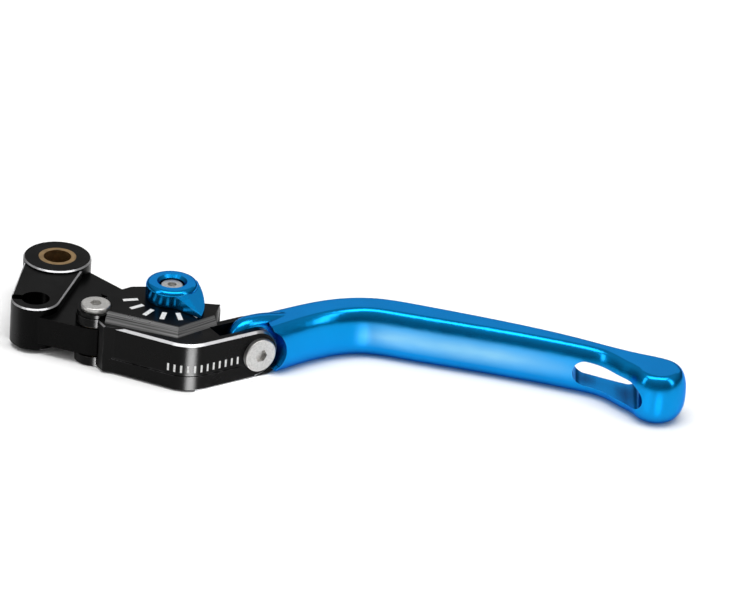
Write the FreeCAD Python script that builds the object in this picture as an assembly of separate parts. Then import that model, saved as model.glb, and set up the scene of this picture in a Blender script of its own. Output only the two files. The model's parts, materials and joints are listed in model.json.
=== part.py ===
"""Adjustable folding clutch lever for a motorcycle, in millimetres.

The origin is the axis of the perch pivot, halfway up the lever. +Z is up along that axis, +X runs
outboard along the lever towards its tip, and -Y is the front, away from the handlebar.
"""
import FreeCAD, Part
import os
from math import cos, sin, radians, degrees, hypot, atan2, pi

os.makedirs("parts", exist_ok=True)
Vec = FreeCAD.Vector
UP = Vec(0, 0, 1)

# ---------------------------------------------------------------- driving dimensions
BOTTOM = -7.5                # underside of the eye, the body and the blade
LEDGE = 7.3                  # top face of the body around the raised deck
DECK = 9.0                   # raised deck that carries the index marks
EYE_TOP = 7.5                # top of the adapter's eye, between the ears of the perch
BLADE_TOP = 8.0
HINGE = Vec(14.1, -32.5, 0)  # reach hinge, adapter to body
SELECTOR = Vec(35.1, -23.4, 0)
FOLD = Vec(61.6, -36.9, 0)   # fold axis, on the front face of the front ear
FACE_LEFT = -21.5            # directions of the body's two front faces, degrees
FACE_RIGHT = 35.0
CORNER_REACH = 23.4          # from the fold axis back to where those two faces would meet
CORNER_RADIUS = 10.0
BACK_ROUND = 2.0             # upright corners along the body's back
FRONT_CHAMFER = 0.65         # bright cut edge along the front
EDGE_CHAMFER = 0.4
BEVEL_RUN = 3.6              # how far the deck's milled bevel leans back, in plan
GROOVE_RISE = 4.6            # height of the fine groove round the body above its underside
GROOVE_WIDTH = 0.35
GROOVE_DEPTH = 0.3

EYE_RADIUS = 10.0
LUG_STEP = 0.8               # how far the nipple's lug stays inside the eye's two faces
PIVOT_BORE = 4.05            # for the M8 pivot bolt of the perch
BUSH_OUTER = 5.5
TONGUE_HALF = 4.2            # half height of the adapter's tongue, in the body's fork
FORK_HALF = 4.8              # half height of the body's fork slot
TONGUE_RADIUS = 5.6
BOSS_RADIUS = 5.6            # round ends of the body's plates at the reach hinge
ARM_WIDTH = 5.2              # adapter arm that the cam bears on
ARM_BACK = 8.5               # the arm's two ends along its own line, either side of the pad
ARM_AHEAD = 2.6
STRUT_START = Vec(6, -5, 0)  # inside the eye
CABLE_SLOT = 2.8             # width of the slot that lets the cable in
FIT = 0.03                   # radial play of a running fit
REACH_ANGLE = 8.0            # travel of the body about the reach hinge, degrees
SELECTOR_ANGLE = 110.0       # travel of the selector over its six marks
STEPS = 5                    # clicks between the first mark and the last

SHAFT_RADIUS = 4.0
CAM_RADIUS = 4.6
CAM_HALF = 3.9               # half height of the cam
CAM_PHASE = 39.0             # angle of the cam's high side before the bearing direction, at rest
CAM_GAP = 0.3
JOURNAL_RADIUS = 2.5         # the cam's lower journal
THREAD_RADIUS = 2.0          # of the selector's M4 screw
KNOB_RADIUS = 7.5
KNOB_HEIGHT = 5.0
KNOB_GAP = 0.3
KNOB_ROUND = 1.4
POINTER_ANGLE = -52.8
POINTER_REACH = 15.6
BEAK_NEAR = -77.0            # where the pointer's two sides leave the ring
BEAK_FAR = 20.0
BEAK_BULGE = 10.9            # reach and direction of its bowed outer side
BEAK_BULGE_ANGLE = -26.4
BEAK_CREST = 5.2             # where its ridge starts in the ring's top face

EAR = 2.4                    # thickness of each fold ear
FOLD_SLOT = 5.8              # width between the ears
SIDE_PLAY = 0.2
EAR_RADIUS = LEDGE           # the round end of the ears runs smoothly into the ledge
EAR_CENTRE = -0.9            # its centre along the joint
RIM_RADIUS = 7.95            # hollow end of the blade around the ears
HEEL_RADIUS = 7.65
FOLD_SPRING_OUTER = 5.6
FOLD_SPRING_DEPTH = 2.7
FOLD_HEAD = 1.5              # height of the fold screw's head
FOLD_NUT = 3.0
SLOT_REACH = 11.9            # fold slot's length behind the axis
NOSE_REACH = 7.4             # end of the nose behind the axis
NOSE_CREST = -0.5            # its highest point along the joint
NOSE_RUN = 13.0              # where it has sunk into the top of the blade
NOSE_TOP = 9.6
NOSE_HEEL = 3.5              # height at which its round end starts
NOSE_ROUND = 2.4

TOP_ROUND = (3.0, 7.0)       # half axes of the blade's elliptical sides, inwards and in height: upper half
BOTTOM_ROUND = (4.0, 6.5)    # lower half
QUARTER_STEPS = 4            # outlines that shape each quarter ellipse
TIP = Vec(175.6, -41.0, 0)
TIP_RADIUS = 8.3
WINDOW_RADIUS = 3.9          # half height of the window near the tip
WINDOW = (155.4, 167.4)      # its two end centres along X

M5_RADIUS = 2.5
M5_HEAD = 4.25
M6_HEAD = 5.0
SHOULDER = 3.0               # radius of the plain shoulders that the joints turn on
BUSH_SEAT = 3.8              # radius of the hinge bush's seat in the adapter
SLEEVE_SEAT = 3.6            # radius of the bore that the blade turns on
BEYOND = 60.0                # length of a cut that passes right through


# ---------------------------------------------------------------- small helpers
def polar(angle, radius, origin=Vec()):
    """The point at an angle in degrees and a radius from an origin, in plan."""
    return origin + Vec(radius * cos(radians(angle)), radius * sin(radians(angle)), 0)


def cylinder(centre, radius, low, high):
    """An upright cylinder between two heights."""
    return Part.makeCylinder(radius, high - low, Vec(centre.x, centre.y, low))


def ring(centre, outer, inner, low, high):
    return cylinder(centre, outer, low, high).cut(cylinder(centre, inner, low - 1, high + 1))


def prism(wire, low, high):
    """A plan outline raised between two heights."""
    face = Part.Face(wire)
    face.translate(Vec(0, 0, low))
    return face.extrude(Vec(0, 0, high - low))


def polygon(points):
    return Part.makePolygon([*points, points[0]])


def hull_of_two(first, radius_a, second, radius_b, low, high):
    """Two upright discs joined by their outer tangents."""
    span = second - first
    length = hypot(span.x, span.y)
    heading = degrees(atan2(span.y, span.x))
    lean = degrees(atan2((length ** 2 - (radius_a - radius_b) ** 2) ** 0.5, radius_a - radius_b))
    left, right = heading + lean, heading - lean
    web = polygon([polar(left, radius_a, first), polar(right, radius_a, first),
                   polar(right, radius_b, second), polar(left, radius_b, second)])
    return (prism(web, low, high)
            .fuse(cylinder(first, radius_a, low, high))
            .fuse(cylinder(second, radius_b, low, high)).removeSplitter())


def block(centre, heading, length, width, low, high):
    """An upright block, its length turned to a heading in plan."""
    shape = Part.makeBox(length, width, high - low, Vec(-length / 2, -width / 2, low))
    shape.rotate(Vec(), UP, heading)
    shape.translate(centre)
    return shape


def hexagon(centre, across, low, high, turn=0.0):
    """An upright hexagonal prism with a given distance across its flats."""
    return prism(polygon([polar(60 * i + turn, across / 3 ** 0.5, centre) for i in range(6)]), low, high)


def above(first, second, third):
    """A large block that rests on the plane through three points."""
    normal = (second - first).cross(third - first)
    if normal.z < 0:
        normal = normal * -1
    slab = Part.makeBox(BEYOND, BEYOND, BEYOND, Vec(-BEYOND / 2, -BEYOND / 2, 0))
    slab.Placement = FreeCAD.Placement(first, FreeCAD.Rotation(UP, normal))
    return slab


def edges_at(shape, height, inside=lambda edge: True):
    """The edges that lie level at one height."""
    return [edge for edge in shape.Edges
            if abs(edge.BoundBox.ZMin - height) < 1e-4 and abs(edge.BoundBox.ZMax - height) < 1e-4
            and inside(edge)]


def eased(shape, low, high):
    """An upright piece with its end edges chamfered."""
    return shape.makeChamfer(EDGE_CHAMFER, edges_at(shape, low) + edges_at(shape, high))


def at_fold(shape):
    """Turn a shape from the fold joint's own axes into place.

    There X runs along the right front face, Y into the metal and Z up, from the centre of the joint.
    """
    placed = shape.copy()
    placed.Placement = FreeCAD.Placement(FOLD, FreeCAD.Rotation(UP, FACE_RIGHT)).multiply(placed.Placement)
    return placed


def across_fold(radius, near, far):
    """A cylinder on the fold axis between two depths, in the joint's own axes."""
    return Part.makeCylinder(radius, far - near, Vec(0, near, 0), Vec(0, 1, 0))


def joint_profile(wire_points, near, far):
    """A straight-sided side view, (x, z) points, raised between two depths in the joint's own axes."""
    face = Part.Face(polygon([Vec(x, near, z) for x, z in wire_points]))
    return face.extrude(Vec(0, far - near, 0))


def wedge(reach, first, second, near, far):
    """A wedge between two slopes from the fold axis, in the joint's own axes."""
    slopes = [(reach * cos(radians(angle)), reach * sin(radians(angle))) for angle in (first, second)]
    return joint_profile([(0, 0), *slopes], near, far)


def save(name, shape):
    """Write one piece, and say how large it is."""
    if not shape.isValid():
        raise ValueError(f"{name} isn't valid")
    shape.exportStep(f"parts/{name}.step")
    print(f"{name:18s} solids {len(shape.Solids):2d} volume {shape.Volume:9.1f}")


# ---------------------------------------------------------------- adapter
CORNER = polar(180 + FACE_RIGHT, CORNER_REACH, FOLD)
ARM_LINE = degrees(atan2(SELECTOR.y - HINGE.y, SELECTOR.x - HINGE.x))
BEARING = ARM_LINE + 90                      # direction from the cam to the adapter's arm
CAM_THROW = (SELECTOR - HINGE).Length * sin(radians(REACH_ANGLE)) / (2 * cos(radians(CAM_PHASE)))
ARM_OFFSET = CAM_RADIUS + CAM_THROW * cos(radians(CAM_PHASE)) + CAM_GAP
PAD_LENGTH = 7.0                             # hardened pad that the cam runs against
PAD_DEPTH = 2.4
PAD_PROUD = 0.5
PAD_CENTRE = polar(BEARING, ARM_OFFSET + PAD_DEPTH / 2, SELECTOR)
ARM_CENTRE = polar(BEARING, ARM_OFFSET + PAD_PROUD + ARM_WIDTH / 2, SELECTOR)
NIPPLE = polar(262, 26.5)                    # seat of the cable's barrel nipple, in front of the pivot
NIPPLE_RADIUS = 4.1
SPRING_OUTER = 5.0
SPRING_WIRE = 0.4
SPRING_DEPTH = 2.6


def adapter_lug():
    """The lug that holds the cable's nipple."""
    low, high = BOTTOM + LUG_STEP, EYE_TOP - LUG_STEP
    return eased(hull_of_two(Vec(), EYE_RADIUS - 1, NIPPLE, NIPPLE_RADIUS + 3, low, high), low, high)


def adapter_arms():
    """The flat webs from the eye and the lug to the reach hinge, and the arm that carries the pad."""
    arm_root = polar(ARM_LINE, -ARM_BACK, ARM_CENTRE)
    arm_tip = polar(ARM_LINE, ARM_AHEAD, ARM_CENTRE)
    half = ARM_WIDTH / 2
    ends = [(Vec(), EYE_RADIUS - 1.5, HINGE, TONGUE_RADIUS),
            (NIPPLE, NIPPLE_RADIUS + 2, HINGE, TONGUE_RADIUS),
            (STRUT_START, half + 2, arm_root, half),
            (arm_root, half, arm_tip, half)]
    return [hull_of_two(*pair, -TONGUE_HALF, TONGUE_HALF) for pair in ends]


def adapter():
    """Eye on the perch pivot, with its lug, webs, seats and bores."""
    eye = eased(cylinder(Vec(), EYE_RADIUS, BOTTOM, EYE_TOP), BOTTOM, EYE_TOP)
    shape = eye.fuse([adapter_lug(), *adapter_arms()])
    room = [block(PAD_CENTRE, ARM_LINE, PAD_LENGTH, PAD_DEPTH, BOTTOM, EYE_TOP),
            cylinder(Vec(), BUSH_OUTER, BOTTOM, EYE_TOP),
            cylinder(HINGE, BUSH_SEAT, BOTTOM, EYE_TOP),
            cylinder(HINGE, SPRING_OUTER, TONGUE_HALF - SPRING_DEPTH, EYE_TOP),
            cylinder(NIPPLE, NIPPLE_RADIUS, BOTTOM, EYE_TOP),
            block(NIPPLE + Vec(-EYE_RADIUS, 0, 0), 0, 2 * EYE_RADIUS, CABLE_SLOT, BOTTOM, EYE_TOP)]
    for cut in room:
        shape = shape.cut(cut)
    return shape.removeSplitter()


def pivot_bush():
    """Bronze bush in the eye."""
    return ring(Vec(), BUSH_OUTER, PIVOT_BORE, BOTTOM, EYE_TOP)


def hinge_bush():
    """Bronze bush in the tongue."""
    return ring(HINGE, BUSH_SEAT, SHOULDER + FIT, -TONGUE_HALF, TONGUE_HALF)


def cam_pad():
    """Hardened pad, a little lower than the cam."""
    half = CAM_HALF - 0.2
    return block(PAD_CENTRE, ARM_LINE, PAD_LENGTH, PAD_DEPTH, -half, half)


def hinge_washers():
    """Two thrust washers, one on each face of the adapter's tongue."""
    thickness = FORK_HALF - TONGUE_HALF - 0.1
    lower = ring(HINGE, SPRING_OUTER - 0.3, SHOULDER + 0.1, -TONGUE_HALF - thickness, -TONGUE_HALF)
    upper = ring(HINGE, BUSH_SEAT + 0.3, SHOULDER + 0.1, TONGUE_HALF, TONGUE_HALF + thickness)
    return Part.makeCompound([lower, upper])


def coil(mean_radius, wire_radius, pitch, turns):
    """A coil spring standing on its origin, along Z."""
    path = Part.makeHelix(pitch, pitch * turns, mean_radius)
    section = Part.Wire([Part.makeCircle(wire_radius, Vec(mean_radius, 0, 0), Vec(0, 1, 0))])
    return Part.Wire(path).makePipeShell([section], True, True)


def reach_spring():
    """Torsion spring in the tongue's counterbore, around the hinge bush."""
    spring = coil(SPRING_OUTER - 0.55, SPRING_WIRE, 0.85, 1.8)
    spring.translate(HINGE + Vec(0, 0, TONGUE_HALF - SPRING_DEPTH + SPRING_WIRE + 0.06))
    return spring


# ---------------------------------------------------------------- lever body
EAR_BACK = EAR + FOLD_SLOT + EAR             # depth of the rear ear's back face
EAR_ROOT = 13.5                              # where the rear ear meets the body, behind the fold axis
STEP_ANGLE = -50.0                           # slope of the short flat under the ears' round end
LEFT_FACE = 23.4                             # lengths of the two front faces, measured from their corner
RIGHT_FACE = 31.0
BACK_PLAN = [Vec(50.6, -22.4, 0), Vec(44.6, -22.4, 0), polar(50, 10.2, SELECTOR), polar(90, 9.0, SELECTOR),
             polar(140, 9.4, SELECTOR), Vec(22.6, -17.2, 0), Vec(16.0, -23.0, 0), polar(220, 2.0, HINGE),
             Vec(17.3, -41.3, 0)]            # the body's back, from the rear ear round to the reach hinge
DECK_CORNER = Vec(38.6, -45.2, 0)            # the deck's front corner at the ledge
DECK_BACK = [Vec(49.4, -25.6, 0), Vec(44.6, -25.6, 0), polar(50, 9.4, SELECTOR), polar(90, 8.4, SELECTOR),
             polar(140, 8.8, SELECTOR), Vec(23.4, -18.6, 0), Vec(16.8, -24.0, 0)]
FORK_END = Vec(21.5, -31.2, 0)               # inner end of the fork slot
FORK_END_RADIUS = 6.4
ARM_ROOM = [Vec(0, -44, 0), Vec(13, -40.5, 0), polar(250, 7.0, SELECTOR), polar(-10, 7.3, SELECTOR),
            Vec(47, -6, 0), Vec(0, 5, 0)]    # room in which the adapter's arm swings
HEAD_SEAT = DECK - 0.5                       # seat of the hinge screw's head
NUT_POCKET = 1.8                             # depth of the pocket for the hinge's nut
CLIP_POCKET = 1.1


def body_front():
    """The two front faces with their round corner, from left to right."""
    left_end = polar(180 + FACE_LEFT, LEFT_FACE, CORNER)
    right_end = polar(FACE_RIGHT, RIGHT_FACE, CORNER)
    turn = radians(FACE_RIGHT - FACE_LEFT) / 2
    cut = CORNER_RADIUS * sin(turn) / cos(turn)
    start = polar(180 + FACE_LEFT, cut, CORNER)
    end = polar(FACE_RIGHT, cut, CORNER)
    inward = (FACE_LEFT + FACE_RIGHT) / 2 + 90
    centre = polar(inward, CORNER_RADIUS / cos(turn), CORNER)
    middle = polar(inward + 180, CORNER_RADIUS, centre)
    return [Part.makeLine(left_end, start), Part.Arc(start, middle, end).toShape(),
            Part.makeLine(end, right_end)], left_end, right_end


def body_outline():
    """Plan of the body without the boss at its reach hinge."""
    front, left_end, right_end = body_front()
    inward = FACE_RIGHT + 90
    ear_rear = polar(inward, EAR_BACK, right_end)
    ear_root = polar(inward, EAR_BACK, polar(180 + FACE_RIGHT, EAR_ROOT, FOLD))
    points = [right_end, ear_rear, ear_root, *BACK_PLAN, left_end]
    return Part.Wire([*front, *[Part.makeLine(a, b) for a, b in zip(points, points[1:])]])


def deck_points(inset):
    """Plan of the raised deck; inset moves its two front edges back."""
    corner = DECK_CORNER + Vec(0, 1.08 * inset, 0)
    left = polar(180 + FACE_LEFT + 6 - 0.55 * inset, 22.0, corner)
    right = polar(FACE_RIGHT + 8, 14.5 - 0.4 * inset, corner)
    return left, corner, right


def deck():
    """The deck with its wide bevel along the front, as a loft between two outlines."""
    outlines = []
    for height, inset in ((LEDGE, 0.0), (DECK, BEVEL_RUN)):
        outline = polygon([*deck_points(inset), *DECK_BACK])
        outline.translate(Vec(0, 0, height))
        outlines.append(outline)
    return Part.makeLoft(outlines, True, True)


def ear_end():
    """What is cut from the free end of the ears, in the joint's own axes: all beyond their round end."""
    near, far, reach = -4, EAR_BACK + 4, 16
    beyond = Part.makeBox(reach, far - near, 2 * reach, Vec(EAR_CENTRE, near, -reach))
    round_end = Part.makeCylinder(EAR_RADIUS, far - near, Vec(EAR_CENTRE, near, 0), Vec(0, 1, 0))
    step = wedge(9, STEP_ANGLE, -90, near, far)
    step = step.common(Part.makeBox(reach, far - near, reach, Vec(EAR_CENTRE, near, BOTTOM)))
    return beyond.cut(round_end.fuse(step))


def ear_bevel():
    """What is cut off to carry the front chamfer around the front ear's round end, in the joint's axes."""
    start = Vec(EAR_CENTRE, 0, 0)
    outside = Part.makeCylinder(2 * EAR_RADIUS, FRONT_CHAMFER, start, Vec(0, 1, 0))
    cone = Part.makeCone(EAR_RADIUS - FRONT_CHAMFER, EAR_RADIUS, FRONT_CHAMFER, start, Vec(0, 1, 0))
    free_half = Part.makeBox(BEYOND, BEYOND, BEYOND, Vec(EAR_CENTRE, -BEYOND / 2, -BEYOND / 2))
    return outside.cut(cone).common(free_half)


def is_front(edge):
    """Whether an edge of the body's plan runs along its front faces."""
    return edge.BoundBox.Center.y < HINGE.y - 6 and edge.Length > 5


def is_back(edge):
    """Whether an edge of the body's plan runs along its back, clear of the ears' free end."""
    return edge.BoundBox.Center.y > HINGE.y - 2.5 and edge.BoundBox.Center.x < FOLD.x - 3.6


def body_blank():
    """The body's plan raised to the ledge, with eased edges and round ends to its ears."""
    blank = prism(body_outline(), BOTTOM, LEDGE)
    corners = [edge for edge in blank.Edges if edge.BoundBox.ZLength > LEDGE and is_back(edge)]
    blank = blank.makeFillet(BACK_ROUND, corners)
    blank = blank.makeChamfer(EDGE_CHAMFER, edges_at(blank, BOTTOM))
    blank = blank.makeChamfer(FRONT_CHAMFER, edges_at(blank, LEDGE, is_front))
    blank = blank.makeChamfer(EDGE_CHAMFER, edges_at(blank, LEDGE, is_back))
    return blank.cut([at_fold(ear_end()), at_fold(ear_bevel())])


def body_rooms():
    """What is cut out between the body's two plates, for the adapter, its arm and the cam."""
    fork = hull_of_two(HINGE, TONGUE_RADIUS + 1, FORK_END, FORK_END_RADIUS, -FORK_HALF, FORK_HALF)
    cam_room = cylinder(SELECTOR, ARM_OFFSET + 1.2, -FORK_HALF, FORK_HALF)
    return [fork, cam_room, prism(polygon(ARM_ROOM), -FORK_HALF, FORK_HALF)]


def hinge_bores():
    """Bores and seats of the hinge screw and its nut."""
    return [cylinder(HINGE, SHOULDER, -FORK_HALF - 1, DECK),
            cylinder(HINGE, M5_HEAD + 0.3, HEAD_SEAT, DECK),
            cylinder(HINGE, M5_RADIUS, BOTTOM, 0),
            hexagon(HINGE, 8.1, BOTTOM, BOTTOM + NUT_POCKET)]


def selector_bores():
    """Bores of the selector's bush, its lower journal, the clip and the detent spring."""
    return [cylinder(SELECTOR, SHAFT_RADIUS + 1, 0, DECK),
            cylinder(SELECTOR, JOURNAL_RADIUS + FIT, BOTTOM, 0),
            cylinder(SELECTOR, JOURNAL_RADIUS + 1.4, BOTTOM, BOTTOM + CLIP_POCKET),
            cylinder(DETENT, BALL_RADIUS + 0.1, FORK_HALF + 0.8, DECK)]


def body_groove():
    """Fine groove along the two front faces."""
    low = BOTTOM + GROOVE_RISE
    band = prism(body_outline(), low, low + GROOVE_WIDTH)
    core = prism(body_outline().makeOffset2D(-GROOVE_DEPTH), low, low + GROOVE_WIDTH)
    front = Part.makeBox(BEYOND, BEYOND, BEYOND, Vec(HINGE.x + 5.9, -36 - BEYOND, -BEYOND / 2))
    return band.cut(core).common(front)


def lever_body():
    """The machined body: fork at the reach hinge, deck with the selector's seat and the two fold ears."""
    boss = cylinder(HINGE, BOSS_RADIUS, BOTTOM, LEDGE)
    screw_boss = cylinder(HINGE, BOSS_RADIUS - 0.3, LEDGE, HEAD_SEAT)
    body = body_blank().fuse(boss).fuse(deck()).fuse(screw_boss)
    slot = at_fold(Part.makeBox(BEYOND, FOLD_SLOT, BEYOND, Vec(-SLOT_REACH, EAR, -BEYOND / 2)))
    fold_bore = at_fold(across_fold(SHOULDER, 0, EAR_BACK))
    for cut in [*body_rooms(), *hinge_bores(), *selector_bores(), slot, fold_bore, body_groove()]:
        body = body.cut(cut)
    return body.removeSplitter()


def screw(centre, shank, head, head_low, head_high, tail, socket):
    """An upright screw with a slightly rounded head and a hexagon socket."""
    rod = cylinder(centre, shank, tail, head_low)
    cap = cylinder(centre, head, head_low, head_high)
    cap = cap.makeFillet(0.5, edges_at(cap, head_high))
    return rod.fuse(cap).cut(hexagon(centre, socket, head_high - 1.1, head_high + 1)).removeSplitter()


def hinge_screw():
    """Shoulder screw that the body turns on."""
    shape = screw(HINGE, SHOULDER, M5_HEAD, HEAD_SEAT, HEAD_SEAT + 1.5, -FORK_HALF, 3.0)
    return shape.fuse(cylinder(HINGE, M5_RADIUS, BOTTOM + 0.1, 0)).removeSplitter()


def hinge_nut():
    """Thin nut in the underside's pocket."""
    nut = hexagon(HINGE, 7.9, BOTTOM + 0.1, BOTTOM + NUT_POCKET)
    return nut.cut(cylinder(HINGE, M5_RADIUS, BOTTOM, 0))


# ---------------------------------------------------------------- selector
KNOB_LOW = DECK + KNOB_GAP
KNOB_TOP = KNOB_LOW + KNOB_HEIGHT
KNOB_SEAT = KNOB_LOW + 2.2                    # seat of its screw
KNOB_BORE = 3.6
FLATS = 6.4                                   # width across the flats that key the knob to the shaft
FLATS_HEIGHT = 1.6
DETENT_REACH = 6.1
DETENT = polar(POINTER_ANGLE + 180, DETENT_REACH, SELECTOR)
BALL_RADIUS = 0.75
BALL_HEIGHT = KNOB_LOW - 0.4
FUNNEL = 0.8                                  # width of the slope around the recess
CAM_CENTRE = polar(BEARING - CAM_PHASE, CAM_THROW, SELECTOR)


def selector_bush():
    """Bush in the deck, around the cam's shaft."""
    return ring(SELECTOR, SHAFT_RADIUS + 1.0, SHAFT_RADIUS + FIT, FORK_HALF, DECK)


def flatted(radius, across, low, high):
    """A round shaft end with two flats, on the selector's axis."""
    band = block(SELECTOR, 0, 4 * radius, across, low, high)
    return cylinder(SELECTOR, radius, low, high).common(band)


def selector_cam():
    """Eccentric cam, its shaft through the deck and its lower journal."""
    disc = cylinder(CAM_CENTRE, CAM_RADIUS, -CAM_HALF, CAM_HALF)
    shaft = cylinder(SELECTOR, SHAFT_RADIUS, CAM_HALF, KNOB_LOW - 0.1)
    key = flatted(SHAFT_RADIUS, FLATS, KNOB_LOW - 0.1, KNOB_LOW + FLATS_HEIGHT)
    journal = cylinder(SELECTOR, JOURNAL_RADIUS, BOTTOM + 0.2, -CAM_HALF)
    thread = cylinder(SELECTOR, THREAD_RADIUS, 0, KNOB_TOP)
    return disc.fuse([shaft, key, journal]).cut(thread).removeSplitter()


def pointer():
    """Beak from the ring down to the marks: its two facets meet in a ridge that runs to the tip."""
    tip = polar(POINTER_ANGLE, POINTER_REACH, SELECTOR)
    near_side = polar(BEAK_NEAR, KNOB_RADIUS, SELECTOR)
    far_side = polar(BEAK_FAR, KNOB_RADIUS, SELECTOR)
    bulge = polar(BEAK_BULGE_ANGLE, BEAK_BULGE, SELECTOR)
    outer = Part.Arc(tip, bulge, far_side).toShape()
    sides = [Part.makeLine(a, b) for a, b in ((far_side, SELECTOR), (SELECTOR, near_side), (near_side, tip))]
    beak = prism(Part.Wire([outer, *sides]), KNOB_LOW, KNOB_TOP)
    crest = polar(POINTER_ANGLE, BEAK_CREST, SELECTOR) + Vec(0, 0, KNOB_TOP)
    foot = tip + Vec(0, 0, KNOB_LOW + 0.8)
    far_facet = above(crest, foot, far_side + Vec(0, 0, KNOB_TOP - 0.6))
    near_facet = above(crest, foot, near_side + Vec(0, 0, KNOB_TOP - 1.4))
    return beak.cut([far_facet, near_facet])


def detent_dimples():
    """The track that the ball rolls in and its dimples, one for each mark."""
    track = Part.makeTorus(DETENT_REACH, BALL_RADIUS + 0.12, SELECTOR + Vec(0, 0, BALL_HEIGHT))
    dimples = []
    for step in range(STEPS + 1):
        place = polar(POINTER_ANGLE + 180 + step * SELECTOR_ANGLE / STEPS, DETENT_REACH, SELECTOR)
        dimples.append(Part.makeSphere(BALL_RADIUS + 0.15, place + Vec(0, 0, BALL_HEIGHT + 0.15)))
    return [track, *dimples]


def selector_knob():
    """Ring-shaped knob with a pointer, a recessed screw seat and the detent's dimples underneath."""
    hub = cylinder(SELECTOR, KNOB_RADIUS, KNOB_LOW, KNOB_TOP)
    hub = hub.makeFillet(KNOB_ROUND, edges_at(hub, KNOB_TOP))
    shape = hub.fuse(pointer())
    recess = cylinder(SELECTOR, KNOB_BORE, KNOB_SEAT, KNOB_TOP)
    funnel = Part.makeCone(KNOB_BORE, KNOB_BORE + FUNNEL, FUNNEL + 0.1,
                           SELECTOR + Vec(0, 0, KNOB_TOP - FUNNEL - 0.05))
    socket = flatted(SHAFT_RADIUS + 0.02, FLATS + 0.04, KNOB_LOW, KNOB_LOW + FLATS_HEIGHT + 0.05)
    bore = cylinder(SELECTOR, THREAD_RADIUS + 0.1, KNOB_LOW, KNOB_TOP)
    for cut in [recess, funnel, socket, bore, *detent_dimples()]:
        shape = shape.cut(cut)
    return shape.removeSplitter()


def selector_screw():
    """M4 screw that holds the knob down on the cam's shaft."""
    return screw(SELECTOR, THREAD_RADIUS, KNOB_BORE - 0.3, KNOB_SEAT, KNOB_SEAT + 1.7, CAM_HALF - 3, 2.5)


def cam_clip():
    """Retaining ring under the cam's lower journal."""
    low = BOTTOM + 0.3
    return ring(SELECTOR, JOURNAL_RADIUS + 1, JOURNAL_RADIUS, low, low + 0.7)


def detent_ball():
    """Steel ball under the knob."""
    return Part.makeSphere(BALL_RADIUS, DETENT + Vec(0, 0, BALL_HEIGHT))


def detent_spring():
    """Coil spring that presses the ball up into the knob's dimples."""
    spring = coil(0.52, 0.16, 0.55, 3.5)
    spring.translate(DETENT + Vec(0, 0, FORK_HALF + 1.0))
    return spring


# ---------------------------------------------------------------- folding blade
BLADE_FRONT = [Vec(66.6, -37.0, 0), Vec(75.0, -29.6, 0), Vec(84.0, -23.4, 0), Vec(91.5, -20.9, 0),
               Vec(101.0, -22.0, 0), Vec(120.0, -25.7, 0), Vec(138.0, -29.4, 0), Vec(152.0, -32.9, 0),
               Vec(159.5, -35.9, 0), Vec(164.4, -40.6, 0)]   # from its root to its tip
BLADE_BACK = [Vec(171.0, -30.9, 0), Vec(153.5, -24.3, 0), Vec(130.0, -16.9, 0), Vec(107.0, -11.2, 0),
              Vec(93.0, -9.2, 0), Vec(81.0, -11.9, 0), Vec(70.0, -18.1, 0), Vec(60.3, -25.0, 0)]
HEEL_ANGLES = (-49.5, -39.0)                 # slopes between which the blade's heel comes nearer the ears
UNDER_ANGLE = -49.6                          # slope of the blade's cut-back underside at its root


def moved_in(points, inset):
    """A row of plan points, each moved square to the row and to its left."""
    behind, ahead = [points[0], *points], [*points[1:], points[-1]]
    return [point + UP.cross((after - before).normalize()) * inset
            for before, point, after in zip(behind, points, ahead)]


def blade_outline(inset, height):
    """Plan of the blade at a height: spline front, round tip, spline back and a straight root."""
    radius = TIP_RADIUS - inset
    front = [*moved_in(BLADE_FRONT, inset), polar(208, radius, TIP)]
    back = [polar(64, radius, TIP), *moved_in(BLADE_BACK, inset)]
    front_curve = Part.BSplineCurve()
    front_curve.interpolate(Points=front, InitialTangent=polar(FACE_RIGHT + 6, 1), FinalTangent=polar(-62, 1))
    back_curve = Part.BSplineCurve()
    back_curve.interpolate(Points=back, InitialTangent=polar(154, 1), FinalTangent=polar(215, 1))
    tip = Part.Arc(front[-1], polar(-30, radius, TIP), back[0])
    root = Part.makeLine(back[-1], front[0])
    outline = Part.Wire([front_curve.toShape(), tip.toShape(), back_curve.toShape(), root])
    outline.translate(Vec(0, 0, height))
    return outline


def blade_bar():
    """The bar of the blade, whose sides bow out: a loft through outlines set in by two quarter ellipses."""
    outlines = []
    for step in range(-QUARTER_STEPS, QUARTER_STEPS + 1):
        turn = pi / 2 * step / QUARTER_STEPS
        inward, tall = BOTTOM_ROUND if step < 0 else TOP_ROUND
        centre = BOTTOM + tall if step < 0 else BLADE_TOP - tall
        outlines.append(blade_outline(inward * (1 - cos(turn)), centre + tall * sin(turn)))
    return Part.makeLoft(outlines, True)


def window():
    """Through window near the tip, with round ends."""
    left, right = WINDOW
    front = -BEYOND
    box = Part.makeBox(right - left, BEYOND, 2 * WINDOW_RADIUS, Vec(left, front, -WINDOW_RADIUS))
    ends = [Part.makeCylinder(WINDOW_RADIUS, BEYOND, Vec(x, front, 0), Vec(0, 1, 0)) for x in WINDOW]
    return box.fuse(ends)


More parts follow.
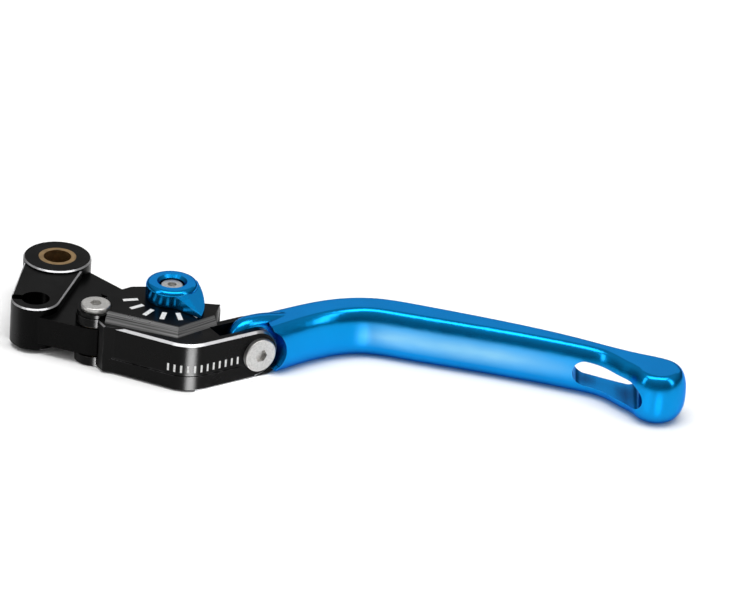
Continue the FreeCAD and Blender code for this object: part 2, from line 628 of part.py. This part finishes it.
def nose(near, far):
    """Finger-like nose over the joint and the web under it, in the joint's own axes."""
    centre = Vec(NOSE_CREST, near, NOSE_HEEL)
    start = Vec(-NOSE_REACH, near, NOSE_HEEL)
    crest = Vec(NOSE_CREST, near, NOSE_TOP)
    end = Vec(NOSE_RUN, near, BLADE_TOP - 0.15)
    ellipse = Part.Ellipse(centre + (centre - start), crest, centre)
    tail = Part.BSplineCurve()
    tail.interpolate(Points=[crest, Vec(NOSE_RUN / 2, near, NOSE_TOP - 0.55), end],
                     InitialTangent=Vec(1, 0, 0), FinalTangent=Vec(1, 0, -0.12))
    belly = [end, Vec(NOSE_RUN, near, BOTTOM + 3), Vec(3.5, near, BOTTOM + 1.5), start]
    sides = [Part.makeLine(first, second) for first, second in zip(belly, belly[1:])]
    profile = Part.Wire([Part.Arc(ellipse, pi / 2, pi).toShape().reversed(), tail.toShape(), *sides])
    shape = Part.Face(profile).extrude(Vec(0, far - near, 0))
    rounded = [edge for edge in shape.Edges if edge.BoundBox.YLength < 1e-4
               and edge.BoundBox.XMin < NOSE_CREST and edge.BoundBox.ZMin > NOSE_HEEL - 0.1]
    return shape.makeFillet(NOSE_ROUND, rounded)


def tongue():
    """Flat tongue on the fold axis with the nose above it, in the joint's own axes."""
    near, far = EAR + SIDE_PLAY, EAR + FOLD_SLOT - SIDE_PLAY
    return across_fold(EAR_RADIUS - 0.4, near, far).fuse(nose(near, far)).removeSplitter()


def root_room():
    """What is cut from the blade's root so that it swings clear around the ears, in the joint's own axes."""
    near, far = -8, EAR_BACK + 8
    around = across_fold(RIM_RADIUS, near, far)
    heel = wedge(9, *HEEL_ANGLES, near, far).cut(across_fold(HEEL_RADIUS, near, far))
    behind = Part.makeBox(24, BEYOND, BEYOND, Vec(-20.5, -BEYOND / 2, -BEYOND / 2))
    slope = (12 * cos(radians(UNDER_ANGLE)), 12 * sin(radians(UNDER_ANGLE)))
    under = joint_profile([(0, 0), slope, (-4, -12)], near, far)
    return [around.cut(heel), behind, under]


def blade():
    """The blade with its root hollowed around the ears, and its tongue between them."""
    bar = blade_bar().cut([at_fold(cut) for cut in root_room()])
    bore = across_fold(SLEEVE_SEAT, 0, EAR_BACK)
    counterbore = across_fold(FOLD_SPRING_OUTER, EAR + FOLD_SLOT - FOLD_SPRING_DEPTH, EAR_BACK)
    shape = bar.fuse(at_fold(tongue()))
    return shape.cut([at_fold(bore), at_fold(counterbore), window()]).removeSplitter()


def fold_sleeve():
    """Steel sleeve that the tongue turns on."""
    tube = across_fold(SLEEVE_SEAT - FIT, EAR, EAR + FOLD_SLOT)
    return at_fold(tube.cut(across_fold(M5_RADIUS, 0, EAR_BACK)))


def fold_spring():
    """Torsion spring that swings the blade back down, in the tongue's counterbore."""
    spring = coil(FOLD_SPRING_OUTER - 0.6, SPRING_WIRE, 0.95, 1.4)
    spring.rotate(Vec(), Vec(1, 0, 0), 90)
    spring.translate(Vec(0, EAR + FOLD_SLOT - SIDE_PLAY - 0.55, 0))
    return at_fold(spring)


def fold_screw():
    """Pan-headed screw through both ears, with a hexagon socket."""
    shank = across_fold(M5_RADIUS, 0, EAR_BACK + FOLD_NUT + 0.2)
    shoulders = across_fold(SHOULDER, 0, EAR)
    head = across_fold(M6_HEAD, -FOLD_HEAD, 0)
    rim = [edge for edge in head.Edges if edge.BoundBox.YMax < 0.1 - FOLD_HEAD]
    head = head.makeFillet(0.4, rim)
    socket = hexagon(Vec(), 3.4, 0, 2)
    socket.rotate(Vec(), Vec(1, 0, 0), 90)
    socket.translate(Vec(0, -0.2, 0))
    return at_fold(shank.fuse([shoulders, head]).cut(socket).removeSplitter())


def fold_nut():
    """Hexagon nut behind the rear ear."""
    nut = hexagon(Vec(), 8.0, 0, FOLD_NUT).cut(cylinder(Vec(), M5_RADIUS, 0, FOLD_NUT))
    nut.rotate(Vec(), Vec(1, 0, 0), -90)
    nut.translate(Vec(0, EAR_BACK, 0))
    return at_fold(nut)


PIECES = [adapter, pivot_bush, hinge_bush, cam_pad, hinge_washers, reach_spring, lever_body, hinge_screw,
          hinge_nut, selector_bush, selector_cam, selector_knob, selector_screw, cam_clip, detent_ball,
          detent_spring, blade, fold_sleeve, fold_spring, fold_screw, fold_nut]

for piece in PIECES:
    save(piece.__name__, piece())
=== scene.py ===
"""Looks of the adjustable folding clutch lever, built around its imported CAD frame. Metres, +Z up."""

import json
from math import cos, pi, radians, sin

import bmesh
import bpy
from mathutils import Matrix, Vector

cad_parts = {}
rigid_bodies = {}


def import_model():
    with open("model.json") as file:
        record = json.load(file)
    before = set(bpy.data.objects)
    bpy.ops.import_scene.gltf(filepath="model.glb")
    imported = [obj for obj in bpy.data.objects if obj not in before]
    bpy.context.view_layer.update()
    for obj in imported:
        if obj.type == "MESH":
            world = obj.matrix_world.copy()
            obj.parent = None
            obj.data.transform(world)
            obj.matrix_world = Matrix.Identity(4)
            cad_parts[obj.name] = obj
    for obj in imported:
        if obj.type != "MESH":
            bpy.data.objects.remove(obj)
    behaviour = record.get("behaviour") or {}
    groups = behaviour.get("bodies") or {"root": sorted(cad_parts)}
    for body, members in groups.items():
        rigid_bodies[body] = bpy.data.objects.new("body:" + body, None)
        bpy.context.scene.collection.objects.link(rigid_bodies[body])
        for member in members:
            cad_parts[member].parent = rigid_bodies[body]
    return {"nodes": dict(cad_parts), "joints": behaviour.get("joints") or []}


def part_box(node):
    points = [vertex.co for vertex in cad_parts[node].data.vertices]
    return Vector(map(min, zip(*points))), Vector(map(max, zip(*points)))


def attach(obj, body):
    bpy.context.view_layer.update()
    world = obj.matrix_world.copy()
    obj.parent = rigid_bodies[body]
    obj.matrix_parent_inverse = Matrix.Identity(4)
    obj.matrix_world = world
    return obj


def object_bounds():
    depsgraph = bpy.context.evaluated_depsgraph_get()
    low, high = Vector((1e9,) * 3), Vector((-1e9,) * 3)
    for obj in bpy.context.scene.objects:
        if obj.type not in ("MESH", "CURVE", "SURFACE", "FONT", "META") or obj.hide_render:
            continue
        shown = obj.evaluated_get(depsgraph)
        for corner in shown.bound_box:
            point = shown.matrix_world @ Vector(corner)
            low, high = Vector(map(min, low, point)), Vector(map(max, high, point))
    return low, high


for leftover in list(bpy.data.objects):
    bpy.data.objects.remove(leftover)

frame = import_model()
cad_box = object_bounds()

# ---------------------------------------------------------------- the frame
MM = 0.001
UP = Vector((0, 0, 1))
FRONT = Vector((0, -1, 0))
NODES = frame["nodes"]
JOINTS = {joint["name"]: joint for joint in frame["joints"]}
HINGE = Vector(JOINTS["reach_adjust"]["pos_m"])
SELECTOR = Vector(JOINTS["selector_turn"]["pos_m"])
FOLD = Vector(JOINTS["fold_up"]["pos_m"])
FACE_OUT = Vector(JOINTS["fold_up"]["axis"])          # outward normal of the body's right front face
FACE_LEFTWARD = FACE_OUT.cross(UP)                    # along that face, away from the blade
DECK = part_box("lever_body")[1].z                      # top of the raised deck

# ---------------------------------------------------------------- printed marks
POINTER_ANGLE = -52.8            # direction of the selector's pointer at rest, degrees
MARKS = 6                        # one index mark for each click of the selector
MARK_STEP = 22.0                 # angle between two marks, degrees
MARK_INNER = 9.8 * MM            # the two ends of a mark, from the selector's axis
MARK_OUTER = 14.2 * MM
MARK_WIDTH = 1.4 * MM
TICKS = 12
TICK_START = 7.0 * MM            # first tick, from the fold axis along the face
TICK_DROP = 0.5 * MM             # their middles, below the fold axis
TICK_PITCH = 2.0 * MM
TICK_HALF_HEIGHT = 1.15 * MM
TICK_HALF_WIDTH = 0.3 * MM
PRINT_LIFT = 0.02 * MM           # printed marks stand this far off the metal

# ---------------------------------------------------------------- finishes
BLASTED_GRAIN = 5000.0           # noise scales, in waves per metre
WEAR_PATCHES = 500.0
NOISE_SPAN = (0.3, 0.7)          # the range that holds most of a noise's values
SMUDGE_SPAN = (0.3, 0.75)        # the same, leaning to the glossy side
EDGE_BEND = (0.985, 0.90)        # cosines of the bend where an edge starts to wear, and is worn through
SHADE_OPENNESS = (0.80, 0.45)        # openness where the painted shade starts, and where it is darkest
BLUE_GLOSS = (0.20, 0.26)        # roughness from clean to smudged
BLACK_GLOSS = (0.26, 0.34)
STEEL_GLOSS = (0.28, 0.46)
GLOSS_CHANGE = 0.14              # how much rougher the grain makes plain metal
DYE_BRIGHT = (0.0, 0.265, 0.66)
DYE_DEEP = (0.0, 0.23, 0.58)
PAINTED_REFLECTION = (0.17, 0.43, 0.64)    # painted reflection: a pale band along the blade's front
DYE_WORN = (0.25, 0.6, 0.95)     # on worn edges
PAINTED_SHADE = (0.0, 0.03, 0.10)   # painted shade in holes and gaps
SHADE_REACH = 9 * MM
BAND_LEVEL = 0.6 * MM            # height of the middle of the painted reflection band
BAND_HALF = (0.5 * MM, 4.5 * MM)             # half heights where it starts to fade, and where it is gone
BAND_START = (88 * MM, 98 * MM)              # it fades in and out along the lever between these
BAND_END = (130 * MM, 160 * MM)
BLACK_DEEP = (0.0001, 0.0001, 0.0001)
BLACK_THIN = (0.0004, 0.0004, 0.0004)
BLACK_WORN = (0.06, 0.06, 0.062)
CUT_METAL = (0.50, 0.50, 0.51)   # bright chamfers
CUT_LEAN = cos(radians(45))      # cosine between a chamfer's normal and that of the face beside it
CUT_MARGIN = 0.02
MILLED_LEAN = 0.89               # the same for the deck's wide bevel, which is milled grey
MILLED_MARGIN = 0.08
MILLED_TONES = (0.05, 0.24)
ZINC_BRIGHT = (0.62, 0.61, 0.59)
ZINC_DULL = (0.46, 0.455, 0.44)
ZINC_WORN = (0.8, 0.8, 0.79)
PRINT_BRIGHT = (0.80, 0.80, 0.79)
PRINT_DULL = (0.55, 0.55, 0.54)
FLOOR_PALE = (0.80, 0.80, 0.80)
FLOOR_PALER = (0.84, 0.84, 0.84)

# ---------------------------------------------------------------- studio
FLOOR_HALF = 3.0                 # half side of the floor
FLOOR_GAP = 0.3 * MM             # the floor lies this far under the lever
MIDDLE = Vector((90, -25, 0)) * MM           # what the lights are aimed at
CARD_DISTANCE = 0.8
SKY_HEIGHTS = (0.05, 0.75)       # heights between which the sky brightens
SKY_BRIGHTNESS = (0.08, 0.50)
CAMERA_ELEVATION = radians(27.0)
CAMERA_ROLL = radians(4.5)
CAMERA_DISTANCE = 1.3
CAMERA_TARGET = Vector((90.94, 3.77, 0)) * MM
CAMERA_REACH = (0.05, 10.0)      # nearest and farthest that it sees
LENS, SENSOR = 217.4, 36.0       # millimetres


# ---------------------------------------------------------------- shader node helpers
def new_material(name):
    """A material with only its Principled shader, which is returned with the tree."""
    material = bpy.data.materials.new(name)
    material.use_nodes = True
    tree = material.node_tree
    shader = next(n for n in tree.nodes if n.type == "BSDF_PRINCIPLED")
    return material, tree, shader


def add(tree, kind, **settings):
    """A node of a kind, with its properties and inputs set by name."""
    node = tree.nodes.new(kind)
    for key, value in settings.items():
        if hasattr(node, key):
            setattr(node, key, value)
        else:
            node.inputs[key.replace("_", " ")].default_value = value
    return node


def place(tree, stretch=(1, 1, 1)):
    """Object coordinates in metres, stretched."""
    source = add(tree, "ShaderNodeTexCoord")
    mapping = add(tree, "ShaderNodeMapping", Scale=stretch)
    tree.links.new(source.outputs["Object"], mapping.inputs["Vector"])
    return mapping.outputs["Vector"]


def noise(tree, vector, scale, detail=4.0, rough=0.5):
    """A noise value between 0 and 1; its scale is in waves per metre."""
    node = add(tree, "ShaderNodeTexNoise", Scale=scale, Detail=detail, Roughness=rough)
    tree.links.new(vector, node.inputs["Vector"])
    return node.outputs["Fac"]


def spread(tree, value, low, high, out_low, out_high):
    """Maps a value's range onto another."""
    node = add(tree, "ShaderNodeMapRange", From_Min=low, From_Max=high, To_Min=out_low, To_Max=out_high)
    tree.links.new(value, node.inputs["Value"])
    return node.outputs["Result"]


def maths(tree, operation, *values):
    """A maths node over sockets and numbers."""
    node = add(tree, "ShaderNodeMath", operation=operation)
    for socket, value in zip(node.inputs, values):
        if isinstance(value, (int, float)):
            socket.default_value = value
        else:
            tree.links.new(value, socket)
    return node.outputs[0]


def product(tree, first, *others):
    """Masks and numbers multiplied together."""
    for other in others:
        first = maths(tree, "MULTIPLY", first, other)
    return first


def vector_maths(tree, operation, *values):
    """A vector maths node over sockets and constants."""
    node = add(tree, "ShaderNodeVectorMath", operation=operation)
    for socket, value in zip(node.inputs, values):
        if isinstance(value, bpy.types.NodeSocket):
            tree.links.new(value, socket)
        else:
            socket.default_value = value
    return node.outputs["Value"] if operation in ("DOT_PRODUCT", "LENGTH") else node.outputs["Vector"]


def mix(tree, factor, first, second):
    """Mixes two colours, each a colour or a socket, by a socket."""
    node = add(tree, "ShaderNodeMix", data_type="RGBA")
    tree.links.new(factor, node.inputs["Factor"])
    for socket, value in ((node.inputs[6], first), (node.inputs[7], second)):
        if isinstance(value, tuple):
            socket.default_value = (*value, 1)
        else:
            tree.links.new(value, socket)
    return node.outputs[2]


def bump(tree, shader, heights):
    """Chains bumps, each a (height socket, distance in metres, strength)."""
    last = None
    for height, distance, strength in heights:
        node = add(tree, "ShaderNodeBump", Distance=distance, Strength=strength)
        tree.links.new(height, node.inputs["Height"])
        if last is not None:
            tree.links.new(last, node.inputs["Normal"])
        last = node.outputs["Normal"]
    tree.links.new(last, shader.inputs["Normal"])


def near_value(tree, value, target, width):
    """A mask that is 1 where a value is within a width of a target."""
    off = maths(tree, "ABSOLUTE", maths(tree, "SUBTRACT", value, target))
    return maths(tree, "LESS_THAN", off, width)


# ---------------------------------------------------------------- wear, painted shade and reflection, and tool marks
def worn_edges(tree, radius):
    """A mask that is white within a radius of an edge, broken up where the wear is lighter."""
    soft = add(tree, "ShaderNodeBevel", samples=6, Radius=radius).outputs["Normal"]
    hard = add(tree, "ShaderNodeNewGeometry").outputs["Normal"]
    agree = vector_maths(tree, "DOT_PRODUCT", soft, hard)
    edge = spread(tree, agree, *EDGE_BEND, 0.0, 1.0)
    patches = spread(tree, noise(tree, place(tree), WEAR_PATCHES, 6.0), 0.42, 0.62, 0.0, 1.0)
    return product(tree, edge, patches)


def painted_recess_shade(tree, depth):
    """A mask that is white deep in gaps and holes, for painted shade where the light is blocked."""
    shade = add(tree, "ShaderNodeAmbientOcclusion", samples=8, only_local=True, Distance=depth)
    return spread(tree, shade.outputs["AO"], *SHADE_OPENNESS, 0.0, 1.0)


def painted_reflection_band(tree):
    """A soft, slightly patchy mask along the middle of the blade's front, where a painted reflection
    gives it a pale band.
    """
    where = add(tree, "ShaderNodeSeparateXYZ")
    tree.links.new(place(tree), where.inputs[0])
    off_middle = maths(tree, "ABSOLUTE", maths(tree, "SUBTRACT", where.outputs["Z"], BAND_LEVEL))
    level = spread(tree, off_middle, *BAND_HALF, 1.0, 0.0)
    start = spread(tree, where.outputs["X"], *BAND_START, 0.0, 1.0)
    end = spread(tree, where.outputs["X"], *BAND_END, 1.0, 0.0)
    facing = add(tree, "ShaderNodeNewGeometry").outputs["Normal"]
    front = spread(tree, vector_maths(tree, "DOT_PRODUCT", facing, FRONT), 0.3, 0.9, 0.0, 1.0)
    patches = spread(tree, noise(tree, place(tree, (0.3, 1, 1)), 300.0, 5.0), *NOISE_SPAN, 0.75, 1.0)
    return product(tree, level, start, end, front, patches)


def brushed(tree, shader, amount):
    """Level brush marks: they spread a highlight up and down an upright face."""
    facing = add(tree, "ShaderNodeNewGeometry").outputs["Normal"]
    level = vector_maths(tree, "CROSS_PRODUCT", facing, UP)
    never_zero = vector_maths(tree, "ADD", level, (0.01, 0, 0))
    tree.links.new(never_zero, shader.inputs["Tangent"])
    shader.inputs["Anisotropic"].default_value = amount
    shader.inputs["Anisotropic Rotation"].default_value = 0.25


# ---------------------------------------------------------------- materials
def blue_anodised():
    """Blue dyed aluminium: fine blasted grain, slow drift of the dye, worn edges and faint smudges, with
    a painted reflection band along its front and painted shade in holes and gaps.
    """
    material, tree, shader = new_material("blue_anodised_finish")
    where = place(tree)
    drift = spread(tree, noise(tree, where, 45.0, 3.0), *NOISE_SPAN, 0.0, 1.0)
    dye = mix(tree, drift, DYE_BRIGHT, DYE_DEEP)
    # painted reflection: a pale band along the middle of the blade's front
    dye = mix(tree, painted_reflection_band(tree), dye, PAINTED_REFLECTION)
    dye = mix(tree, product(tree, worn_edges(tree, 0.25 * MM), 0.3), dye, DYE_WORN)
    # painted shade: the dye is darkened deep in holes and gaps, where light is blocked
    dye = mix(tree, painted_recess_shade(tree, SHADE_REACH), dye, PAINTED_SHADE)
    tree.links.new(dye, shader.inputs["Base Color"])
    smudge = noise(tree, place(tree, (1, 1, 2)), 120.0, 5.0)
    tree.links.new(spread(tree, smudge, *SMUDGE_SPAN, *BLUE_GLOSS), shader.inputs["Roughness"])
    shader.inputs["Metallic"].default_value = 1.0
    shader.inputs["Specular Tint"].default_value = (0.1, 0.55, 1.0, 1)
    shader.inputs["Coat Weight"].default_value = 0.1
    shader.inputs["Coat Roughness"].default_value = 0.12
    brushed(tree, shader, 0.35)
    bump(tree, shader, [(noise(tree, where, BLASTED_GRAIN, 2.0), 0.01 * MM, 0.2),
                        (noise(tree, where, 600.0, 3.0), 0.02 * MM, 0.12)])
    return material


def chamfer_mask(tree, rise, outward):
    """White on the bright chamfers: the level ones along the top edges and the round ones of the ears."""
    level_cut = near_value(tree, rise, CUT_LEAN, CUT_MARGIN)
    sloping = maths(tree, "GREATER_THAN", maths(tree, "ABSOLUTE", rise), CUT_MARGIN)
    round_cut = product(tree, near_value(tree, outward, CUT_LEAN, CUT_MARGIN), sloping)
    return maths(tree, "MAXIMUM", level_cut, round_cut)


def black_anodised():
    """Black anodised body: satin, with fine cutter lines, a grey milled bevel and bright cut chamfers."""
    material, tree, shader = new_material("black_anodised_finish")
    where = place(tree)
    facing = add(tree, "ShaderNodeNewGeometry").outputs["True Normal"]
    rise = vector_maths(tree, "DOT_PRODUCT", facing, UP)
    cut = chamfer_mask(tree, rise, vector_maths(tree, "DOT_PRODUCT", facing, FACE_OUT))
    milled = near_value(tree, rise, MILLED_LEAN, MILLED_MARGIN)
    lines = noise(tree, place(tree, (25, 25, 5200)), 1.0, 3.0, 0.7)
    streaks = spread(tree, lines, 0.35, 0.65, *MILLED_TONES)
    cutter = add(tree, "ShaderNodeCombineColor")
    for channel in cutter.inputs:
        tree.links.new(streaks, channel)
    base = mix(tree, noise(tree, where, 60.0, 4.0), BLACK_DEEP, BLACK_THIN)
    base = mix(tree, milled, base, cutter.outputs["Color"])
    base = mix(tree, cut, base, CUT_METAL)
    base = mix(tree, product(tree, worn_edges(tree, 0.3 * MM), 0.1), base, BLACK_WORN)
    tree.links.new(base, shader.inputs["Base Color"])
    bare = maths(tree, "MAXIMUM", cut, product(tree, milled, 0.8))
    tree.links.new(bare, shader.inputs["Metallic"])
    smudge = noise(tree, where, 150.0, 5.0)
    tree.links.new(spread(tree, smudge, *SMUDGE_SPAN, *BLACK_GLOSS), shader.inputs["Roughness"])
    shader.inputs["Specular IOR Level"].default_value = 0.07
    brushed(tree, shader, 0.85)
    bump(tree, shader, [(lines, 0.01 * MM, 0.35),
                        (noise(tree, where, BLASTED_GRAIN, 2.0), 0.01 * MM, 0.2)])
    return material


def metal(name, colour, dark, roughness, grain_scale, grain_stretch=(1, 1, 1)):
    """Bare metal with a directional grain, small stains and uneven gloss."""
    material, tree, shader = new_material(name)
    stain = spread(tree, noise(tree, place(tree), 400.0, 6.0, 0.6), 0.35, 0.75, 0.0, 1.0)
    tree.links.new(mix(tree, stain, colour, dark), shader.inputs["Base Color"])
    shader.inputs["Metallic"].default_value = 1.0
    grain = noise(tree, place(tree, grain_stretch), grain_scale, 3.0)
    gloss = spread(tree, grain, *NOISE_SPAN, roughness, roughness + GLOSS_CHANGE)
    tree.links.new(gloss, shader.inputs["Roughness"])
    bump(tree, shader, [(grain, 0.02 * MM, 0.4)])
    return material


def turned_steel(name, centre, axis):
    """Zinc-plated steel turned about an axis: rings on its face, dull stains and rubbed bright edges."""
    material, tree, shader = new_material(name)
    where = add(tree, "ShaderNodeTexCoord").outputs["Object"]
    across = vector_maths(tree, "CROSS_PRODUCT", vector_maths(tree, "SUBTRACT", where, centre), axis)
    rings = add(tree, "ShaderNodeTexNoise", noise_dimensions="1D", Scale=7000.0, Detail=3.0)
    tree.links.new(vector_maths(tree, "LENGTH", across), rings.inputs["W"])
    ring = rings.outputs["Fac"]
    stain = spread(tree, noise(tree, where, 1600.0, 6.0, 0.65), 0.38, 0.66, 0.0, 1.0)
    zinc = mix(tree, stain, ZINC_BRIGHT, ZINC_DULL)
    tree.links.new(mix(tree, worn_edges(tree, 0.2 * MM), zinc, ZINC_WORN), shader.inputs["Base Color"])
    shader.inputs["Metallic"].default_value = 1.0
    tree.links.new(spread(tree, ring, *NOISE_SPAN, *STEEL_GLOSS), shader.inputs["Roughness"])
    bump(tree, shader, [(ring, 0.03 * MM, 0.6),
                        (noise(tree, where, 1500.0, 4.0), 0.02 * MM, 0.4)])
    return material


def white_print():
    """Matt white print, thin and slightly patchy, with soft grain."""
    material, tree, shader = new_material("white_print_finish")
    where = place(tree)
    patch = spread(tree, noise(tree, where, 1800.0, 5.0), 0.4, 0.75, 0.0, 1.0)
    tree.links.new(mix(tree, patch, PRINT_BRIGHT, PRINT_DULL), shader.inputs["Base Color"])
    tree.links.new(spread(tree, patch, 0.0, 1.0, 0.5, 0.7), shader.inputs["Roughness"])
    bump(tree, shader, [(noise(tree, where, 4000.0, 3.0), 0.01 * MM, 0.4)])
    return material


def floor_finish():
    """Matt pale paper, with a very slow change of tone."""
    material, tree, shader = new_material("floor_finish")
    soft = noise(tree, place(tree), 3.0, 2.0)
    tree.links.new(mix(tree, soft, FLOOR_PALE, FLOOR_PALER), shader.inputs["Base Color"])
    shader.inputs["Roughness"].default_value = 0.8
    return material


def dress(node, material):
    """Gives a CAD node its finish."""
    for slot in NODES[node].material_slots:
        slot.material = material


BLUE = blue_anodised()
BLACK = black_anodised()
BRONZE = metal("bronze_finish", (0.42, 0.27, 0.12), (0.2, 0.13, 0.06), 0.34, 900.0)
HARD = metal("hardened_steel_finish", (0.42, 0.42, 0.43), (0.25, 0.24, 0.24), 0.26, 60.0, (1, 1, 40))
WIRE = metal("spring_steel_finish", (0.35, 0.35, 0.37), (0.2, 0.2, 0.21), 0.3, 1200.0)
WHITE = white_print()
FINISHES = {
    "blade": BLUE, "selector_knob": BLUE, "adapter": BLACK, "lever_body": BLACK,
    "pivot_bush": BRONZE, "hinge_bush": BRONZE, "hinge_washers": BRONZE, "selector_bush": BRONZE,
    "cam_pad": HARD, "selector_cam": HARD, "detent_ball": HARD, "fold_sleeve": HARD,
    "reach_spring": WIRE, "fold_spring": WIRE, "detent_spring": WIRE, "cam_clip": WIRE,
}
TURNED = {"hinge_screw": (HINGE, UP), "hinge_nut": (HINGE, UP), "selector_screw": (SELECTOR, UP),
          "fold_screw": (FOLD, FACE_OUT), "fold_nut": (FOLD, FACE_OUT)}

for node, finish in FINISHES.items():
    dress(node, finish)
for node, (centre, axis) in TURNED.items():
    dress(node, turned_steel(node + "_finish", centre, axis))


# ---------------------------------------------------------------- printed marks
def surface(node, point):
    """The nearest point of a CAD node's surface and the normal there."""
    _, where, normal, _ = NODES[node].closest_point_on_mesh(point)
    return where, normal


def printed(name, node, body, strokes, across=3, along=5):
    """Thin marks laid on a node's surface; each stroke is a middle, a long and a wide half vector."""
    made = bmesh.new()
    for middle, long_half, wide_half in strokes:
        grid = []
        for i in range(along + 1):
            row = []
            for j in range(across + 1):
                u, v = 2 * i / along - 1, 2 * j / across - 1
                spot, normal = surface(node, middle + long_half * u + wide_half * v)
                row.append(made.verts.new(spot + normal * PRINT_LIFT))
            grid.append(row)
        for near_row, far_row in zip(grid, grid[1:]):
            for j in range(across):
                made.faces.new((near_row[j], far_row[j], far_row[j + 1], near_row[j + 1]))
    made.normal_update()
    mesh = bpy.data.meshes.new(name)
    made.to_mesh(mesh)
    made.free()
    mesh.materials.append(WHITE)
    piece = bpy.data.objects.new(name, mesh)
    bpy.context.scene.collection.objects.link(piece)
    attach(piece, body)


def index_marks():
    """One short radial stroke for each click of the selector."""
    strokes = []
    for step in range(MARKS):
        angle = radians(POINTER_ANGLE - MARK_STEP * step)
        ray = Vector((cos(angle), sin(angle), 0))
        middle = SELECTOR + ray * (MARK_INNER + MARK_OUTER) / 2 + UP * DECK
        strokes.append((middle, ray * (MARK_OUTER - MARK_INNER) / 2, ray.cross(UP) * MARK_WIDTH / 2))
    printed("index_marks", "lever_body", "lever", strokes)


def front_ticks():
    """A row of plain upright ticks around the corner of the body's front."""
    spot = FOLD + FACE_LEFTWARD * TICK_START - UP * TICK_DROP
    strokes = []
    for _ in range(TICKS):
        spot, normal = surface("lever_body", spot)
        along = normal.cross(UP).normalized()
        strokes.append((spot, UP * TICK_HALF_HEIGHT, along * TICK_HALF_WIDTH))
        spot = spot + along * TICK_PITCH
    printed("front_ticks", "lever_body", "lever", strokes)


index_marks()
front_ticks()


# ---------------------------------------------------------------- floor, light and camera
def floor():
    """One large level sheet just under the lever."""
    mesh = bpy.data.meshes.new("floor")
    corners = [(-FLOOR_HALF, -FLOOR_HALF, 0), (FLOOR_HALF, -FLOOR_HALF, 0),
               (FLOOR_HALF, FLOOR_HALF, 0), (-FLOOR_HALF, FLOOR_HALF, 0)]
    mesh.from_pydata(corners, [], [(0, 1, 2, 3)])
    mesh.materials.append(floor_finish())
    obj = bpy.data.objects.new("floor", mesh)
    obj.location.z = cad_box[0].z - FLOOR_GAP
    bpy.context.scene.collection.objects.link(obj)
    return obj


def area_light(name, position, size, power):
    """A rectangular soft light of a power in watts, aimed at the lever's middle."""
    light = bpy.data.lights.new(name, "AREA")
    light.shape = "RECTANGLE"
    light.size, light.size_y = size
    light.energy = power
    obj = bpy.data.objects.new(name, light)
    obj.location = position
    obj.rotation_euler = (MIDDLE - Vector(position)).to_track_quat("-Z", "Y").to_euler()
    bpy.context.scene.collection.objects.link(obj)
    return obj


def light_only(light, name, lit):
    """Keeps a light off everything but some objects, as flags do in a studio."""
    group = bpy.data.collections.new(name)
    for obj in lit:
        group.objects.link(obj)
    light.light_linking.receiver_collection = group
    return group


def card(name, azimuth, elevation, size, brightness, lit):
    """A glowing card around the lever, at an azimuth and elevation in degrees.

    It lights only some nodes, and the floor doesn't hide it from them.
    """
    turn, lift = radians(azimuth), radians(elevation)
    direction = Vector((cos(lift) * cos(turn), cos(lift) * sin(turn), sin(lift)))
    power = brightness * pi * size[0] * size[1]
    obj = area_light(name, MIDDLE + direction * CARD_DISTANCE, size, power)
    obj.light_linking.blocker_collection = light_only(obj, name + "_lit", [NODES[node] for node in lit])


def surround():
    """A studio that is dark at eye level and pale overhead, which gives glossy metal its bands."""
    world = bpy.data.worlds.new("studio")
    bpy.context.scene.world = world
    world.use_nodes = True
    tree = world.node_tree
    direction = add(tree, "ShaderNodeTexCoord").outputs["Generated"]
    height = add(tree, "ShaderNodeSeparateXYZ")
    tree.links.new(direction, height.inputs[0])
    level = spread(tree, height.outputs["Z"], *SKY_HEIGHTS, *SKY_BRIGHTNESS)
    tree.links.new(level, tree.nodes["Background"].inputs["Strength"])
    tree.nodes["Background"].inputs["Color"].default_value = (1, 1, 1, 1)


def studio(ground):
    """Boxes over and behind the lever, one for the floor alone, low cards for the metal, side strips."""
    surround()
    area_light("top_box", (0.1, -0.25, 1.0), (1.2, 0.55), 7.5)
    floor_box = area_light("floor_box", (0.1, 0.0, 1.2), (1.0, 1.0), 6.5)
    light_only(floor_box, "floor_lit", [ground])
    area_light("rear_box", (0.1, 0.9, 0.5), (1.4, 0.4), 1.0)
    card("corner_card", -74, -27, (0.34, 0.26), 400.0, ["lever_body"])
    card("back_card", 95, -25, (0.80, 0.40), 16.0, ["lever_body", "adapter"])
    card("end_card", 180, -15, (0.50, 0.40), 10.0, ["lever_body", "adapter"])
    card("bend_card", -74, -27, (0.16, 0.40), 9.0, ["blade"])
    card("side_card", -117, -22, (0.24, 0.24), 6.0, ["blade"])
    area_light("left_strip", (-0.8, -0.5, 0.5), (0.2, 0.7), 1.5)
    area_light("right_strip", (0.9, -0.4, 0.5), (0.2, 0.7), 1.5)
    bpy.context.scene.view_settings.view_transform = "Standard"


def camera():
    """A long lens, well in front of and above the lever, rolled so that the pivot's axis leans right."""
    back = Vector((0, -cos(CAMERA_ELEVATION), sin(CAMERA_ELEVATION)))
    level = Vector((1, 0, 0))
    upright = Vector((0, sin(CAMERA_ELEVATION), cos(CAMERA_ELEVATION)))
    right = level * cos(CAMERA_ROLL) + upright * sin(CAMERA_ROLL)
    up = upright * cos(CAMERA_ROLL) - level * sin(CAMERA_ROLL)
    data = bpy.data.cameras.new("camera")
    data.sensor_width = SENSOR
    data.lens = LENS
    data.clip_start, data.clip_end = CAMERA_REACH
    obj = bpy.data.objects.new("camera", data)
    turn = Matrix((right, up, back)).transposed().to_4x4()
    obj.matrix_world = Matrix.Translation(CAMERA_TARGET + back * CAMERA_DISTANCE) @ turn
    bpy.context.scene.collection.objects.link(obj)
    bpy.context.scene.camera = obj


studio(floor())
camera()

bpy.context.view_layer.update()
